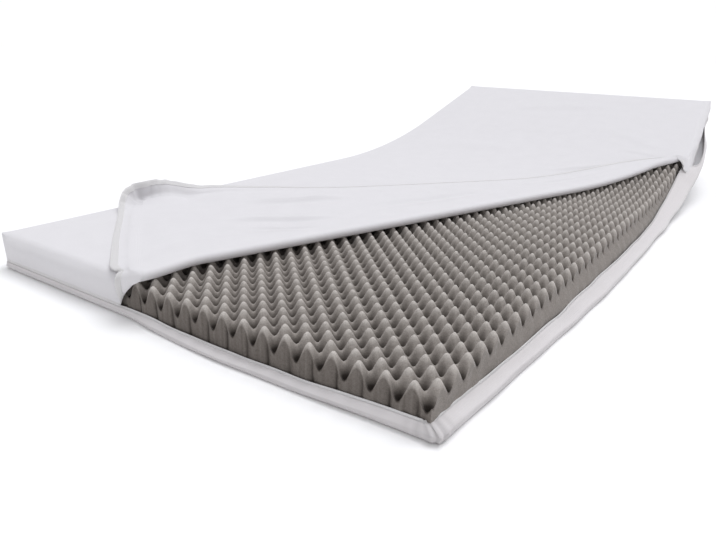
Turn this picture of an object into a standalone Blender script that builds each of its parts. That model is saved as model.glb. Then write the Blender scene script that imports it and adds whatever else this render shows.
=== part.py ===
"""Mattress topper: a slab of egg-crate foam in a two-part zip cover.

The foot part lies flat and the head end is raised. The cover is unzipped round the near
right corner, and the top's corner is folded back diagonally over the closed part.

Everything is laid out flat first, as (x, s, h): x across from the left side, s along from
the foot, h up from the floor. place() then bends that slab upwards at the head.
Metres, +Z up, +Y towards the head, the origin in the middle of the flat resting face.
"""

import bpy
import bmesh
from math import ceil, cos, exp, floor, pi, radians, sin
from mathutils import Vector
from mathutils.geometry import delaunay_2d_cdt

# Driving dimensions
WIDTH = 0.900
LENGTH = 1.973
THICK = 0.069
CLOTH = 0.0016
TAPE = 0.0010
GAP = 0.0003
CORNER_RADIUS = 0.012

# The egg-crate: peaks and pits alternate on a square lattice of half the pitch
PITCH = 0.0368
PIT_DEPTH = 0.034
FIRST_PEAK = (0.8625, 0.0052)
HALF_PITCH = PITCH / 2
HIDDEN_STEP = 3 * HALF_PITCH
FOAM_INSET = 0.0040
FOAM_FRONT = 0.0036
FOAM_RIGHT = 0.8840
FOAM_BOTTOM = CLOTH + GAP
FOAM_TOP = THICK - CLOTH - GAP

# The raised head: the slab turns a little at each of these rows
TURN_ROWS = 10
FIRST_TURN_ROW = 19
HEAD_ANGLE = radians(16.0)

# The head end's right corner is drawn in by the taut cover
DRAWN_IN = 0.022
DRAWN_FROM = 1.50
DRAWN_INNER_X = 0.60

# The fold of the top panel: from the foot edge to the right side
FOLD_FOOT = Vector((0.405, 0.0))
FOLD_SIDE = Vector((0.899, 1.475))
ROLL_RADIUS = 0.008
FLAP_REST = 0.0040
FLAP_SETTLES_OVER = 0.14
FOLD_BOW = -0.026
BOW_EASE = 0.12
BOW_REACH = 0.25

# Borders and zip
SEAM_GAP = CLOTH / 2 + 0.0005
TURN_GAP = 0.0014
UPPER_DROP = 0.046
EDGE_MARGIN = 0.008
ZIP_OVERLAP = 0.0045
TAPE_INSET = 0.0024
TURN_INSET = 0.0042
FOOT_LEVEL = 0.0010

FOLD_LENGTH = (FOLD_SIDE - FOLD_FOOT).length
ALONG = (FOLD_SIDE - FOLD_FOOT) / FOLD_LENGTH
ACROSS = Vector((ALONG.y, -ALONG.x))


def ease(t):
    """Smooth step from 0 to 1."""
    t = min(max(t, 0.0), 1.0)
    return t * t * (3 - 2 * t)


def table_value(table, key, column):
    """A column of a table whose first column rises, eased between its rows."""
    if key <= table[0][0]:
        return table[0][column]
    for low, high in zip(table, table[1:]):
        if key <= high[0]:
            share = ease((key - low[0]) / (high[0] - low[0]))
            return low[column] + (high[column] - low[column]) * share
    return table[-1][column]


# The bend

def hidden_row(k):
    """How far along the k-th row of the coarse lattice lies."""
    return FIRST_PEAK[1] + k * HIDDEN_STEP


def bent_spine():
    """(s, point on the bottom, what one metre of height adds) at each row of the bend."""
    turn = HEAD_ANGLE / TURN_ROWS
    at = Vector((0.0, hidden_row(FIRST_TURN_ROW - 1), 0.0))
    spine = [(at.y, at.copy(), Vector((0, 0, 1)))]
    for i in range(TURN_ROWS + 1):
        before = i * turn
        at = at + HIDDEN_STEP * Vector((0, cos(before), sin(before)))
        if i < TURN_ROWS:
            middle = before + turn / 2
            up = Vector((0, -sin(middle), cos(middle))) / cos(turn / 2)
        else:
            up = Vector((0, -sin(before), cos(before)))
        spine.append((hidden_row(FIRST_TURN_ROW + i), at.copy(), up))
    return spine


SPINE = bent_spine()
ORIGIN = Vector((WIDTH / 2, SPINE[0][0] / 2, 0))


def place(x, s, h):
    """Where the flat slab's point (x, s, h) lies once the head is raised."""
    drawn = ease((s - DRAWN_FROM) / (LENGTH - DRAWN_FROM))
    x -= DRAWN_IN * drawn * ease((x - DRAWN_INNER_X) / (WIDTH - DRAWN_INNER_X))
    if s <= SPINE[0][0]:
        point = Vector((0, s, h))
    elif s >= SPINE[-1][0]:
        last_s, at, up = SPINE[-1]
        point = at + (s - last_s) * Vector((0, cos(HEAD_ANGLE), sin(HEAD_ANGLE))) + h * up
    else:
        i = min(floor((s - SPINE[0][0]) / HIDDEN_STEP), len(SPINE) - 2)
        (low_s, low, low_up), (_, high, high_up) = SPINE[i], SPINE[i + 1]
        share = (s - low_s) / HIDDEN_STEP
        point = (low + h * low_up).lerp(high + h * high_up, share)
    return point + Vector((x, 0, 0)) - ORIGIN


# Mesh helpers

def collection(name):
    made = bpy.data.collections.new(name)
    bpy.context.scene.collection.children.link(made)
    return made


def material(name, color, roughness):
    made = bpy.data.materials.new(name)
    made.use_nodes = True
    shader = made.node_tree.nodes["Principled BSDF"]
    shader.inputs["Base Color"].default_value = (*color, 1)
    shader.inputs["Roughness"].default_value = roughness
    shader.inputs["Metallic"].default_value = 0
    return made


def add_object(name, bm, finish, group):
    bmesh.ops.recalc_face_normals(bm, faces=bm.faces)
    mesh = bpy.data.meshes.new(name)
    bm.to_mesh(mesh)
    bm.free()
    mesh.materials.append(finish)
    made = bpy.data.objects.new(name, mesh)
    group.objects.link(made)
    return made


def thicken(made, thickness):
    """Gives an open surface its cloth thickness, half to each side."""
    wall = made.modifiers.new("thickness", "SOLIDIFY")
    wall.thickness = thickness
    wall.offset = 0
    wall.use_even_offset = True
    return made


def flat_triangles(outline, points, lines):
    """Triangles inside an outline that use the points and keep the lines as edges."""
    spots = [Vector(p) for p in outline]

    def index_of(point):
        for i, spot in enumerate(spots):
            if (spot - Vector(point)).length < 0.0001:
                return i
        spots.append(Vector(point))
        return len(spots) - 1

    rim = list(range(len(outline)))
    for point in points:
        index_of(point)
    edges = []
    for line in lines:
        indices = [index_of(point) for point in line]
        edges += list(zip(indices, indices[1:]))
    spots, _, faces, _, _, _ = delaunay_2d_cdt(spots, edges, [rim], 1, 1e-6)
    return spots, faces


# The foam

def crate_height(x, s):
    """Height of the egg-crate surface: cosine peaks and pits on the lattice."""
    wave = cos(2 * pi * (x - FIRST_PEAK[0]) / PITCH) * cos(2 * pi * (s - FIRST_PEAK[1]) / PITCH)
    return FOAM_TOP - PIT_DEPTH * (1 - wave) / 2


def fold_coordinates(u, v):
    """(along the fold line, across it towards the open corner) of a cloth point."""
    away = Vector((u, v)) - FOLD_FOOT
    return away.dot(ALONG), away.dot(ACROSS)


def bow(along):
    """How far the fold line strays sideways from straight."""
    return FOLD_BOW * ease(along / BOW_EASE) * ease((FOLD_LENGTH - along) / BOW_EASE)


def foam_is_open(x, s):
    """Whether the folded cover leaves this spot of the foam bare, or nearly."""
    along, across = fold_coordinates(x, s)
    return across > bow(along) - 1.5 * HALF_PITCH


def foam_corner(x, s, start):
    """The foam's arc inside one of the cover's rounded corners."""
    r = CORNER_RADIUS - FOAM_INSET
    angles = [radians(start + 30 * i) for i in range(4)]
    return [(x + r * cos(angle), s + r * sin(angle)) for angle in angles]


def foam_outline():
    """The foam's sides, with a point at each lattice line that meets a bare side."""
    left, right = FOAM_INSET, FOAM_RIGHT
    front, back = FOAM_FRONT, LENGTH - FOAM_INSET
    foot_xs = [x for x in lattice_line(FIRST_PEAK[0], left, right) if foam_is_open(x, front)]
    hidden_xs = [x for x in lattice_line(FIRST_PEAK[0], left, right, 3) if not foam_is_open(x, front)]
    side_ss = [s for s in lattice_line(FIRST_PEAK[1], front, back) if foam_is_open(right, s)]
    hidden_ss = [s for s in lattice_line(FIRST_PEAK[1], front, back, 3)]
    beyond = [s for s in hidden_ss if s > side_ss[-1]]
    outline = [(x, front) for x in sorted(hidden_xs + foot_xs)]
    outline += [(right, front)]
    outline += [(right, s) for s in side_ss + beyond]
    outline += [(right, back)]
    outline += [(x, back) for x in reversed(lattice_line(FIRST_PEAK[0], left, right, 6))]
    outline += foam_corner(CORNER_RADIUS, LENGTH - CORNER_RADIUS, 90)
    outline += [(left, s) for s in reversed(hidden_ss)]
    outline += foam_corner(CORNER_RADIUS, CORNER_RADIUS, 180)
    return outline


def lattice_line(phase, low, high, every=1):
    """Lattice places between two sides, every n-th, well clear of the sides."""
    step = HALF_PITCH * every
    first = ceil((low - phase + HALF_PITCH / 3) / step)
    last = floor((high - phase - HALF_PITCH / 3) / step)
    if every == 1:
        last = floor((high - phase - HALF_PITCH / 12) / step)
    return [phase + i * step for i in range(first, last + 1)]


def foam_core(finish, group):
    outline = foam_outline()
    inner_x = lattice_line(FIRST_PEAK[0], FOAM_INSET, FOAM_RIGHT)
    inner_s = lattice_line(FIRST_PEAK[1], FOAM_FRONT, LENGTH - FOAM_INSET)
    coarse_x = lattice_line(FIRST_PEAK[0], FOAM_INSET, FOAM_RIGHT, 3)
    coarse_s = lattice_line(FIRST_PEAK[1], FOAM_FRONT, LENGTH - FOAM_INSET, 3)
    spots = [(x, s) for x in inner_x for s in inner_s if foam_is_open(x, s)]
    spots += [(x - HALF_PITCH / 2, s + HALF_PITCH / 2) for x, s in spots]
    spots += [(x, s) for x in coarse_x for s in coarse_s if not foam_is_open(x, s)]
    top_spots, top_faces = flat_triangles(outline, spots, [])
    rows = [[(FOAM_INSET, s), (FOAM_RIGHT, s)] for s in coarse_s]
    bottom_spots, bottom_faces = flat_triangles(outline, [], rows)
    bm = bmesh.new()
    top = [bm.verts.new(place(x, s, crate_height(x, s))) for x, s in top_spots]
    for face in top_faces:
        bm.faces.new([top[i] for i in face])
    bottom = [bm.verts.new(place(x, s, FOAM_BOTTOM)) for x, s in bottom_spots]
    for face in bottom_faces:
        bm.faces.new([bottom[i] for i in reversed(face)])
    count = len(outline)
    for i in range(count):
        j = (i + 1) % count
        bm.faces.new((bottom[i], bottom[j], top[j], top[i]))
    loose = [v for v in bm.verts if not v.link_faces]
    bmesh.ops.delete(bm, geom=loose, context="VERTS")
    bmesh.ops.triangulate(bm, faces=bm.faces)
    return add_object("foam_core", bm, finish, group)


# The fold of the cloth

def folded(u, v):
    """(x, s, h) of a point of the top panel's cloth, flat, rolled over or laid back."""
    along, across = fold_coordinates(u, v)
    r = ROLL_RADIUS
    if across <= -r:
        d, lift = across, 0
    elif across < (pi - 1) * r:
        angle = (across + r) / r
        d, lift = r * (sin(angle) - 1), r * (1 - cos(angle))
    else:
        d = (pi - 2) * r - across
        lift = 2 * r + (FLAP_REST - 2 * r) * ease((-r - d) / FLAP_SETTLES_OVER)
    spot = FOLD_FOOT + along * ALONG + d * ACROSS
    shift = bow(along) * exp(-((d / BOW_REACH) ** 2))
    return Vector((spot.x + shift, spot.y, THICK - CLOTH / 2 + lift))


def foot_place(across):
    """Where the line this far across the fold meets the foot edge."""
    return FOLD_FOOT.x + across / ACROSS.x


def side_place(across):
    """Where the line this far across the fold meets the right side."""
    return (across - (WIDTH - FOLD_FOOT.x) * ACROSS.x) / ACROSS.y


# Round the cover: (place along the edge, position, outward direction) of each station

def edge_stations(foot, right, head, left):
    """The cover's edge as (side, place, spot, outward), with an arc at each corner."""
    r = CORNER_RADIUS
    stations = [("foot", x, (x, 0), (0, -1)) for x in foot]
    stations += corner_stations("near_right", WIDTH - r, r, 270)
    stations += [("right", s, (WIDTH, s), (1, 0)) for s in right]
    stations += corner_stations("far_right", WIDTH - r, LENGTH - r, 0)
    stations += [("head", x, (x, LENGTH), (0, 1)) for x in head]
    stations += corner_stations("far_left", r, LENGTH - r, 90)
    stations += [("left", s, (0, s), (-1, 0)) for s in left]
    stations += corner_stations("near_left", r, r, 180)
    return stations


def corner_stations(side, cx, cs, start):
    made = []
    for i in range(4):
        angle = radians(start + 30 * i)
        out = (cos(angle), sin(angle))
        spot = (cx + CORNER_RADIUS * out[0], cs + CORNER_RADIUS * out[1])
        made.append((side, i / 3, spot, out))
    return made


def spread(low, high, step):
    """Even places from low to high, both included."""
    count = max(round(abs(high - low) / step), 1)
    return [low + (high - low) * i / count for i in range(count + 1)]


def rows_between(low, high):
    """The bend's rows between two places along the side, with both ends."""
    rows = [hidden_row(k) for k in range(60)]
    return [low] + [s for s in rows if low + 0.01 < s < high - 0.01] + [high]


def ring(name, rows, finish, group, thickness):
    """A closed loop of cloth through rows of points, one row for each station."""
    bm = bmesh.new()
    grid = [[bm.verts.new(p) for p in row] for row in rows]
    for low, high in zip(grid, grid[1:] + grid[:1]):
        for i in range(len(low) - 1):
            bm.faces.new((low[i], low[i + 1], high[i + 1], high[i]))
    return thicken(add_object(name, bm, finish, group), thickness)


def outward_normals(edge, behind):
    """The outward direction of a border along one edge; behind lies up from it."""
    normals = []
    for i, at in enumerate(edge):
        after = (edge[(i + 1) % len(edge)] - at).normalized()
        before = (at - edge[i - 1]).normalized()
        normals.append((after + before).cross(behind[i] - at).normalized())
    return normals


# The upper border: hanging from the closed edge, or lying out round the folded flap

ROLL = [ROLL_RADIUS * (pi * i / 6 - 1) for i in range(7)]

# The border's free edge where it turns from hanging to lying with the flap
FOOT_TURN = (
    # across the fold, x, s, h
    (-0.0600, 0.3417, 0.0000, 0.0209),
    (-0.0450, 0.3610, -0.0030, 0.0215),
    (-0.0250, 0.3715, -0.0100, 0.0290),
    (ROLL[0], 0.3735, -0.0150, 0.0420),
    (ROLL[1], 0.3730, -0.0180, 0.0520),
    (ROLL[2], 0.3715, -0.0200, 0.0610),
    (ROLL[3], 0.3700, -0.0210, 0.0700),
    (ROLL[4], 0.3680, -0.0215, 0.0780),
    (ROLL[5], 0.3655, -0.0215, 0.0830),
    (ROLL[6], 0.3620, -0.0210, 0.0850),
)
SIDE_TURN = (
    # across the fold, x, s, h
    (ROLL[6], 0.8312, 1.4629, 0.0850),
    (ROLL[5], 0.8450, 1.4740, 0.0860),
    (ROLL[4], 0.8600, 1.4850, 0.0860),
    (ROLL[3], 0.8760, 1.4950, 0.0855),
    (ROLL[2], 0.8920, 1.5040, 0.0850),
    (ROLL[1], 0.9080, 1.5120, 0.0800),
    (ROLL[0], 0.9170, 1.5200, 0.0690),
    (-0.0150, 0.9200, 1.5320, 0.0550),
    (-0.0250, 0.9180, 1.5500, 0.0370),
    (-0.0350, 0.9140, 1.5850, 0.0230),
)
# How steeply the flap's border stands, by its distance from the folded corner
STAND_ON_FOOT = (
    # distance, degrees
    (0.000, 84),
    (0.030, 80),
    (0.130, 6),
    (0.200, 4),
)
STAND_ON_SIDE = (
    # distance, degrees
    (0.000, 84),
    (0.110, 80),
    (0.260, 8),
    (0.320, 4),
)
# How far the hanging border's lower edge stands out along the open right side
HANGS_OUT = (
    # place, out
    (1.50, 0.013),
    (1.60, 0.012),
    (1.75, 0.007),
    (1.86, 0.000),
)


def flap_border(spot, out, degrees):
    """Start and free edge of the border where it goes with the flap."""
    start = folded(*spot)
    flat = folded(spot[0] + UPPER_DROP * out[0], spot[1] + UPPER_DROP * out[1]) - start
    flat.z = 0
    angle = radians(degrees)
    way = flat.normalized() * cos(angle) + Vector((0, 0, 1)) * sin(angle)
    return start + SEAM_GAP * way, start + (SEAM_GAP + UPPER_DROP) * way


def turn_border(row, spot, out):
    """Start and free edge of the border at one row of a turn."""
    seam = folded(*spot)
    ahead = (folded(spot[0] + 0.001 * out[0], spot[1] + 0.001 * out[1]) - seam).normalized()
    end = Vector(row[1:])
    return seam + TURN_GAP * ahead + SEAM_GAP * (end - seam).normalized(), end


def hanging_border(side, at, spot, out):
    """Start and free edge of the border where it hangs from the closed cover's edge."""
    start = folded(*spot)
    away = table_value(HANGS_OUT, at, 1) if side == "right" else 0
    end = start + Vector((out[0] * away, out[1] * away, -(SEAM_GAP + UPPER_DROP)))
    return start - Vector((0, 0, SEAM_GAP)), end


def upper_stations():
    """The stations shared by the top panel's edge and the upper border."""
    foot = spread(CORNER_RADIUS + 0.02, 0.30, 0.10) + [foot_place(r[0]) for r in FOOT_TURN]
    foot += spread(0.445, 0.745, 0.05) + spread(0.765, 0.865, 0.02) + [0.88]
    right = spread(0.02, 0.10, 0.04) + spread(0.12, 0.28, 0.02) + spread(0.32, 1.28, 0.08)
    right += [1.33, 1.38] + [side_place(r[0]) for r in SIDE_TURN]
    right += rows_between(1.63, LENGTH - 0.03)
    head = spread(WIDTH - 0.04, 0.04, 0.16)
    left = list(reversed(rows_between(0.03, LENGTH - 0.03)))
    return edge_stations(foot, right, head, left)


def upper_edges():
    """The upper border's sewn edge and free edge, and the tape's inset, at each station."""
    turns = {("foot", round(foot_place(r[0]), 6)): r for r in FOOT_TURN}
    turns.update({("right", round(side_place(r[0]), 6)): r for r in SIDE_TURN})
    starts, ends, insets = [], [], []
    for side, at, spot, out in upper_stations():
        turn = turns.get((side, round(at, 6)))
        if turn:
            start, end = turn_border(turn, spot, out)
        elif side == "foot" and at > foot_place(ROLL[6]):
            start, end = flap_border(spot, out, table_value(STAND_ON_FOOT, WIDTH - at, 1))
        elif side == "near_right":
            start, end = flap_border(spot, out, STAND_ON_FOOT[0][1])
        elif side == "right" and at < side_place(ROLL[6]):
            start, end = flap_border(spot, out, table_value(STAND_ON_SIDE, at, 1))
        else:
            start, end = hanging_border(side, at, spot, out)
        starts.append(place(*start))
        ends.append(place(*end))
        insets.append(TURN_INSET if turn and turn[0] > -0.03 else TAPE_INSET)
    return starts, ends, insets


def upper_border_and_tape(cloth, tape, group):
    starts, ends, insets = upper_edges()
    normals = outward_normals(ends, starts)
    border, zip_rows = [], []
    for start, end, inset, normal in zip(starts, ends, insets, normals):
        way = (end - start).normalized()
        border.append([start, start.lerp(end, 0.5) + 0.001 * normal, end])
        inner = end - inset * normal
        zip_rows.append([inner - ZIP_OVERLAP * way, inner + (ZIP_OVERLAP - GAP) * way])
    ring("upper_border", border, cloth, group, CLOTH)
    ring("upper_zip_tape", zip_rows, tape, group, TAPE)


# The top panel, on the same stations round its edge

FOLD_PLACES = spread(0.02, 0.12, 0.02) + spread(0.22, 1.34, 0.11) + spread(1.40, 1.56, 0.02)


def across_line(across, margin):
    """Points of the line this far across the fold, kept this far off the panel's edge."""
    low = (0 - FOLD_FOOT.y - across * ACROSS.y) / ALONG.y
    high = (WIDTH - FOLD_FOOT.x - across * ACROSS.x) / ALONG.x
    low, high = low + margin / ALONG.y, high - margin / ALONG.x
    places = [low] + [a for a in FOLD_PLACES if low + 0.008 < a < high - 0.008] + [high]
    spots = [FOLD_FOOT + along * ALONG + across * ACROSS for along in places]
    return [(p.x, p.y) for p in spots]


def flap_cross_line(along):
    """The line straight across the flap at this place of the fold."""
    foot_reach = (EDGE_MARGIN - FOLD_FOOT.y - along * ALONG.y) / ACROSS.y
    side_reach = (WIDTH - EDGE_MARGIN - FOLD_FOOT.x - along * ALONG.x) / ACROSS.x
    last = min(foot_reach, side_reach)
    ends = [FOLD_FOOT + along * ALONG + across * ACROSS for across in (ROLL[6], last)]
    return [(p.x, p.y) for p in ends]


def panel(name, outline, lines, lay, finish, group):
    """A cloth panel inside an outline, laid by a function of its flat points."""
    spots, faces = flat_triangles(outline, [], lines)
    bm = bmesh.new()
    verts = [bm.verts.new(lay(*spot)) for spot in spots]
    for face in faces:
        bm.faces.new([verts[i] for i in face])
    loose = [v for v in bm.verts if not v.link_faces]
    bmesh.ops.delete(bm, geom=loose, context="VERTS")
    return thicken(add_object(name, bm, finish, group), CLOTH)


def top_panel(finish, group):
    outline = [spot for _, _, spot, _ in upper_stations()]
    lines = [across_line(a, 0) for a in ROLL]
    lines += [across_line(a, EDGE_MARGIN) for a in (0.055, 0.10, 0.16, 0.26, 0.36)]
    for s in rows_between(0, LENGTH)[1:-1]:
        reach = FOLD_FOOT.x + (-s * ACROSS.y - ROLL_RADIUS) / ACROSS.x
        lines.append([(EDGE_MARGIN, s), (min(reach, WIDTH - EDGE_MARGIN), s)])
    lines += [flap_cross_line(along) for along in spread(0.11, 1.43, 0.11)]
    panel("top_panel", outline, lines, lambda u, v: place(*folded(u, v)), finish, group)


# The tray: lower border and lower half of the zip

CLOSED_TRAY = (0.0000, 0.0004, 0.0060, 0.0000, 0.0115)
OPEN_FOOT_TRAY = (
    # x, foot out, belly out, belly h, lip out, lip h
    (0.34, *CLOSED_TRAY),
    (0.40, 0.0005, 0.0040, 0.0080, 0.0025, 0.0165),
    (0.50, 0.0070, 0.0120, 0.0080, 0.0080, 0.0145),
    (0.60, 0.0090, 0.0150, 0.0080, 0.0100, 0.0135),
    (0.70, 0.0095, 0.0155, 0.0080, 0.0100, 0.0140),
    (0.80, 0.0060, 0.0110, 0.0090, 0.0060, 0.0175),
    (0.87, 0.0020, 0.0060, 0.0100, 0.0035, 0.0200),
)
OPEN_SIDE_TRAY = (
    # s, foot out, belly out, belly h, lip out, lip h
    (0.03, 0.0020, 0.0060, 0.0100, 0.0030, 0.0200),
    (0.15, 0.0050, 0.0090, 0.0100, 0.0010, 0.0205),
    (0.30, 0.0080, 0.0125, 0.0095, 0.0010, 0.0180),
    (0.45, 0.0110, 0.0160, 0.0090, 0.0030, 0.0165),
    (0.60, 0.0140, 0.0195, 0.0090, 0.0055, 0.0165),
    (0.80, 0.0180, 0.0240, 0.0100, 0.0075, 0.0175),
    (1.00, 0.0220, 0.0285, 0.0120, 0.0060, 0.0210),
    (1.20, 0.0270, 0.0335, 0.0140, 0.0035, 0.0280),
    (1.35, 0.0285, 0.0345, 0.0160, 0.0040, 0.0330),
    (1.46, 0.0285, 0.0345, 0.0160, 0.0240, 0.0320),
    (1.60, 0.0270, 0.0330, 0.0150, 0.0290, 0.0300),
    (1.72, 0.0200, 0.0260, 0.0120, 0.0230, 0.0240),
    (1.84, 0.0040, 0.0090, 0.0080, 0.0070, 0.0140),
    (1.91, *CLOSED_TRAY),
)


def tray_section(side, at):
    """(foot out, belly out, belly height, lip out, lip height) of the tray here."""
    if side == "foot":
        return [table_value(OPEN_FOOT_TRAY, at, i) for i in range(1, 6)]
    if side == "near_right":
        return OPEN_SIDE_TRAY[0][1:]
    if side == "right":
        return [table_value(OPEN_SIDE_TRAY, at, i) for i in range(1, 6)]
    return CLOSED_TRAY


def tray_stations():
    foot = spread(CORNER_RADIUS + 0.02, 0.30, 0.13) + [0.345, 0.372, 0.40, 0.45, 0.50, 0.56]
    foot += [0.62, 0.68, 0.74, 0.79, 0.83, 0.87]
    right = rows_between(0.03, LENGTH - 0.03)
    head = spread(WIDTH - 0.04, 0.04, 0.16)
    left = list(reversed(rows_between(0.03, LENGTH - 0.03)))
    return edge_stations(foot, right, head, left)


def pushed(spot, out, distance):
    return spot[0] + out[0] * distance, spot[1] + out[1] * distance


def lower_border_and_tape(cloth, tape, group):
    feet, bellies, lips, tops = [], [], [], []
    for side, at, spot, out in tray_stations():
        foot, belly, belly_h, lip, lip_h = tray_section(side, at)
        feet.append(place(*pushed(spot, out, foot), FOOT_LEVEL))
        low = min(foot + 0.004, belly)
        bellies.append([
            place(*pushed(spot, out, low), FOOT_LEVEL + 0.0006),
            place(*pushed(spot, out, belly), belly_h),
        ])
        lips.append(place(*pushed(spot, out, lip), lip_h))
    turned = [-n for n in outward_normals(lips, [b[1] for b in bellies])]
    border, zip_rows = [], []
    for foot, (low, belly), lip, normal in zip(feet, bellies, lips, turned):
        way = (lip - belly).normalized()
        border.append([foot, low, belly, lip])
        inner = lip - TAPE_INSET * normal
        zip_rows.append([inner - ZIP_OVERLAP * way, inner + (ZIP_OVERLAP - GAP) * way])
    ring("lower_border", border, cloth, group, CLOTH)
    ring("lower_zip_tape", zip_rows, tape, group, TAPE)


def base_panel(finish, group):
    """The bottom panel, out to the tray's foot all round."""
    inset = CLOTH / 2 + GAP
    outline = []
    for side, at, spot, out in tray_stations():
        outline.append(pushed(spot, out, tray_section(side, at)[0] - inset))
    lines = []
    for s in rows_between(0, LENGTH)[1:-1]:
        reach = WIDTH + tray_section("right", s)[0]
        lines.append([(EDGE_MARGIN, s), (reach - EDGE_MARGIN, s)])
    panel("base_panel", outline, lines, lambda x, s: place(x, s, CLOTH / 2), finish, group)


for old in list(bpy.data.objects):
    bpy.data.objects.remove(old)

topper = collection("mattress_topper")
foam = material("grey_foam", (0.20, 0.18, 0.16), 0.95)
white_cloth = material("white_cover_cloth", (0.80, 0.80, 0.83), 0.85)
zip_tape = material("white_zip_tape", (0.74, 0.74, 0.76), 0.70)

foam_core(foam, topper)
base_panel(white_cloth, topper)
lower_border_and_tape(white_cloth, zip_tape, topper)
upper_border_and_tape(white_cloth, zip_tape, topper)
top_panel(white_cloth, topper)
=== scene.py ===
"""Mattress topper: a slab of egg-crate foam in a zip cover, the cover's corner folded back.

Each piece is laid out on the flat slab, as (x, s, h): x across from the left side, s along
from the foot, h up from what it rests on. place() then raises the head end. Lengths are in
metres, and tables of s, x or distance are joined by smooth_column().
"""

from math import cos, pi, radians, sin

import bmesh
import bpy
import numpy as np
from mathutils import Matrix, Vector


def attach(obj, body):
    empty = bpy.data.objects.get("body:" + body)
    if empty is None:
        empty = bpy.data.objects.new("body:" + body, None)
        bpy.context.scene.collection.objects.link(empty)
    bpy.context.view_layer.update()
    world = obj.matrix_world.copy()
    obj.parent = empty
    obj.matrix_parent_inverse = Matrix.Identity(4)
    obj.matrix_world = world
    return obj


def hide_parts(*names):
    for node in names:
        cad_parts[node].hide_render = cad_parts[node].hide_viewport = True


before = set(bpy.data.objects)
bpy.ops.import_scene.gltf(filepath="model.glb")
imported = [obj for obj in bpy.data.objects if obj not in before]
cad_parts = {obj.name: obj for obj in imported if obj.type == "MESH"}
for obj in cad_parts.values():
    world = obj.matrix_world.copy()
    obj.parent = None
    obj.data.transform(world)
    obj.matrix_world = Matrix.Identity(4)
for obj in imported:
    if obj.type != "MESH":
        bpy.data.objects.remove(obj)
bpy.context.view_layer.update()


# -------------------------------- foam core
# One slab of grey open-cell foam, its top cut as an egg-crate of peaks and pits and its sides
# cut square. It lies loose in the cover. The bare triangle is modelled peak by peak and down
# its cut faces, and the rest, under the closed cover, is a plain slab.

WIDTH, LENGTH = 0.900, 1.973
ORIGIN_Y = 0.4994
BEND_FROM, BEND_RADIUS, HEAD_ANGLE = 1.0264, 1.977, radians(16.0)
DRAWN_IN, DRAWN_FROM, DRAWN_INNER_X = 0.022, 1.50, 0.60


def ease(t):
    """0 up to t = 0, 1 from t = 1, and smooth between."""
    t = np.clip(t, 0.0, 1.0)
    return t * t * (3 - 2 * t)


def bump(t):
    """1 at t = 0, falling smoothly to nearly 0 at t = 2 on both sides."""
    return np.exp(-np.square(t))


def place(x, s, h):
    """World points of the flat slab's points: head raised, its right corner drawn in."""
    x, s, h = np.broadcast_arrays(np.asarray(x, float), s, h)
    drawn = ease((s - DRAWN_FROM) / (LENGTH - DRAWN_FROM))
    x = x - DRAWN_IN * drawn * ease((x - DRAWN_INNER_X) / (WIDTH - DRAWN_INNER_X))
    turn = np.clip((s - BEND_FROM) / BEND_RADIUS, 0, HEAD_ANGLE)
    beyond = np.maximum(s - BEND_FROM - BEND_RADIUS * HEAD_ANGLE, 0)
    y = np.minimum(s, BEND_FROM) + (BEND_RADIUS - h) * np.sin(turn) + beyond * cos(HEAD_ANGLE)
    z = BEND_RADIUS - (BEND_RADIUS - h) * np.cos(turn) + beyond * sin(HEAD_ANGLE)
    return np.stack([x - WIDTH / 2, y - ORIGIN_Y, z], axis=-1)


def smooth_column(table, at, column):
    """A column of a table whose first column rises, joined by monotone cubic pieces."""
    table = np.array(table, float)
    x, y = table[:, 0], table[:, column]
    step = np.diff(x)
    slope = np.diff(y) / step
    tangent = np.concatenate([[slope[0]], (slope[1:] + slope[:-1]) / 2, [slope[-1]]])
    tangent[1:-1][slope[1:] * slope[:-1] <= 0] = 0
    before, after = np.abs(np.append(slope[0], slope)), np.abs(np.append(slope, slope[-1]))
    limit = 3 * np.minimum(before, after)
    tangent = np.clip(tangent, -limit, limit)
    at = np.clip(at, x[0], x[-1])
    i = np.clip(np.searchsorted(x, at) - 1, 0, len(step) - 1)
    t = (at - x[i]) / step[i]
    bend = tangent[i] * step[i] * t * (1 - t) ** 2 - tangent[i + 1] * step[i] * t * t * (1 - t)
    return y[i] * (1 + 2 * t) * (1 - t) ** 2 + y[i + 1] * t * t * (3 - 2 * t) + bend


def waves(*at, seed, size):
    """A smooth uneven field of about -1 to 1, summed from a few waves of about this size."""
    rng = np.random.default_rng(seed)
    total = 0
    for _ in range(7):
        way = rng.normal(size=len(at))
        way = way / np.linalg.norm(way) * rng.uniform(0.6, 1.6) * 2 * pi / size
        total = total + np.sin(sum(w * a for w, a in zip(way, at)) + rng.uniform(0, 2 * pi))
    return total / 3.2


def grid_mesh(name, points, uvs):
    """A grid primitive whose points are moved to these, with these UVs."""
    rows, columns = points.shape[:2]
    bpy.ops.mesh.primitive_grid_add(x_subdivisions=columns - 1, y_subdivisions=rows - 1, size=1)
    made = bpy.context.object
    made.name = made.data.name = name
    mesh = made.data
    mesh.vertices.foreach_set("co", points.astype(np.float32).ravel())
    corners = np.empty(len(mesh.loops), dtype=np.int32)
    mesh.loops.foreach_get("vertex_index", corners)
    corner_uvs = uvs.reshape(-1, 2)[corners].astype(np.float32)
    mesh.uv_layers[0].data.foreach_set("uv", corner_uvs.ravel())
    mesh.shade_smooth()
    mesh.update()
    return made


def keep_vertices(made, keep):
    """Deletes the vertices that aren't kept."""
    bm = bmesh.new()
    bm.from_mesh(made.data)
    bm.verts.ensure_lookup_table()
    gone = [bm.verts[i] for i in np.flatnonzero(~keep)]
    bmesh.ops.delete(bm, geom=gone, context="VERTS")
    bm.to_mesh(made.data)
    bm.free()


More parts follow.
